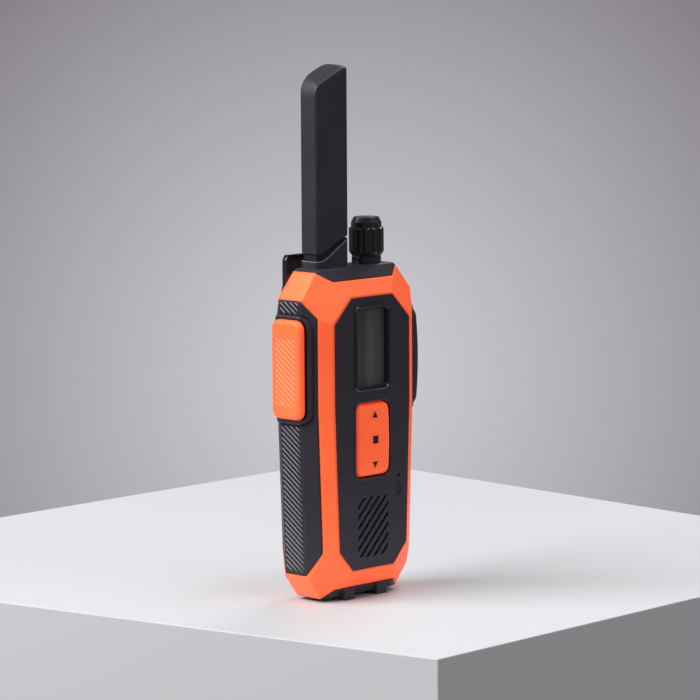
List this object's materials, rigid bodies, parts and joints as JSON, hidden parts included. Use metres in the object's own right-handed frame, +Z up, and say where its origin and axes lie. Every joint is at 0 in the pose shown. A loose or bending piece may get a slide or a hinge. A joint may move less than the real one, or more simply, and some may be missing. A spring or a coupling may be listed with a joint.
{
  "type": "two way radio",
  "caption": "Hand-held two way radio with faceted bumper, fixed blade antenna, side talk button, display, keypad, belt clip and battery door.",
  "frame": {"origin": "on the standing surface, below the middle of the body", "axes": "+Z up along the antenna, the display and keypad face -Y, +X to the right of a person who looks at the display"},
  "size_m": [0.0579, 0.035, 0.1799],
  "materials": {
    "orange_shell": "fine satin moulded orange plastic",
    "dark_shell": "fine textured charcoal plastic",
    "grip_rubber": "soft-touch charcoal rubber",
    "gloss_black": "polished black plastic",
    "antenna_dark": "satin charcoal elastomer",
    "orange_rubber": "matte orange silicone",
    "legend_dark": "printed dark legend",
    "window_glass": "smoked clear window",
    "lcd_grey": "grey liquid crystal panel",
    "white_plastic": "white diffuser plastic",
    "seal_rubber": "black silicone seal",
    "board_green": "green solder mask laminate",
    "chip_black": "black moulded epoxy",
    "tin_plate": "bright tinned sheet",
    "steel": "zinc plated steel",
    "gold_contact": "gold flashed contact",
    "brass": "turned brass",
    "copper": "enamelled copper wire",
    "ferrite": "dark ferrite",
    "mesh_cloth": "black acoustic cloth",
    "cone_paper": "coated paper cone",
    "battery_wrap": "dark shrink-wrapped battery case"
  },
  "bodies": {
    "chassis": {"front_bumper": "orange_shell", "rear_bumper": "orange_shell", "side_grip_left": "grip_rubber", "side_grip_right": "grip_rubber", "ptt_frame": "dark_shell", "jack_frame": "dark_shell", "top_cap": "dark_shell", "base_cap": "dark_shell", "front_housing": "dark_shell", "rear_housing": "dark_shell", "perimeter_seal": "seal_rubber", "display_bezel": "gloss_black", "display_window": "window_glass", "lcd_panel": "lcd_grey", "backlight": "white_plastic", "display_holder": "white_plastic", "key_switches": "steel", "microphone": "tin_plate", "microphone_gasket": "seal_rubber", "speaker_mesh": "mesh_cloth", "speaker_frame": "steel", "speaker_cone": "cone_paper", "speaker_magnet": "ferrite", "main_board": "board_green", "shield_can": "tin_plate", "board_chips": "chip_black", "board_screws": "steel", "housing_screws": "steel", "battery_pack": "battery_wrap", "battery_terminals": "gold_contact", "battery_contacts": "gold_contact", "door_hinge_pin": "steel", "clip_bracket": "dark_shell", "bracket_screws": "steel", "clip_pin": "steel", "clip_spring": "steel", "antenna_collar": "antenna_dark", "antenna_neck": "seal_rubber", "antenna_blade": "antenna_dark", "antenna_stud": "brass", "antenna_coil": "copper", "volume_pot": "tin_plate", "shaft_nut": "gloss_black", "ptt_seal": "seal_rubber", "ptt_switch": "chip_black", "headset_jack": "chip_black", "charging_port": "tin_plate"},
    "knob": {"volume_knob": "gloss_black", "knob_marker": "white_plastic", "volume_shaft": "steel"},
    "talk_button": {"ptt_button": "orange_rubber", "ptt_plunger": "white_plastic"},
    "key_carrier": {"keypad_carrier": "chip_black"},
    "key_pad": {"keypad": "orange_rubber", "keypad_legends": "legend_dark"},
    "cover": {"jack_cover": "grip_rubber"},
    "clip": {"belt_clip": "gloss_black"},
    "door": {"battery_door": "dark_shell"},
    "latch": {"door_latch": "dark_shell"}
  },
  "joints": [
    {"name": "volume_turn", "type": "hinge", "parent": "chassis", "child": "knob", "pos_m": [0.0106, 0, 0.114], "axis": [0, 0, -1], "range_deg": [0, 280]},
    {"name": "talk_press", "type": "slide", "parent": "chassis", "child": "talk_button", "axis": [1, 0, 0], "range_m": [0, 0.001], "stiffness_N_per_m": 1500},
    {"name": "key_press", "type": "slide", "parent": "chassis", "child": "key_carrier", "axis": [0, 1, 0], "range_m": [0, 0.0005], "stiffness_N_per_m": 1500},
    {"name": "key_rock", "type": "hinge", "parent": "key_carrier", "child": "key_pad", "pos_m": [0, -0.0076, 0.0541], "axis": [1, 0, 0], "range_deg": [-2, 2], "stiffness_Nm_per_rad": 0.2},
    {"name": "jack_cover_open", "type": "hinge", "parent": "chassis", "child": "cover", "pos_m": [0.02775, 0.00775, 0.0792], "axis": [0, 0, 1], "range_deg": [0, 110]},
    {"name": "clip_open", "type": "hinge", "parent": "chassis", "child": "clip", "pos_m": [0, 0.0167, 0.092], "axis": [1, 0, 0], "range_deg": [0, 12], "stiffness_Nm_per_rad": 0.6},
    {"name": "battery_door_open", "type": "hinge", "parent": "chassis", "child": "door", "pos_m": [0, 0.01195, 0.01415], "axis": [-1, 0, 0], "range_deg": [0, 80]},
    {"name": "latch_slide", "type": "slide", "parent": "door", "child": "latch", "axis": [0, 0, 1], "range_m": [0, 0.002]}
  ]
}
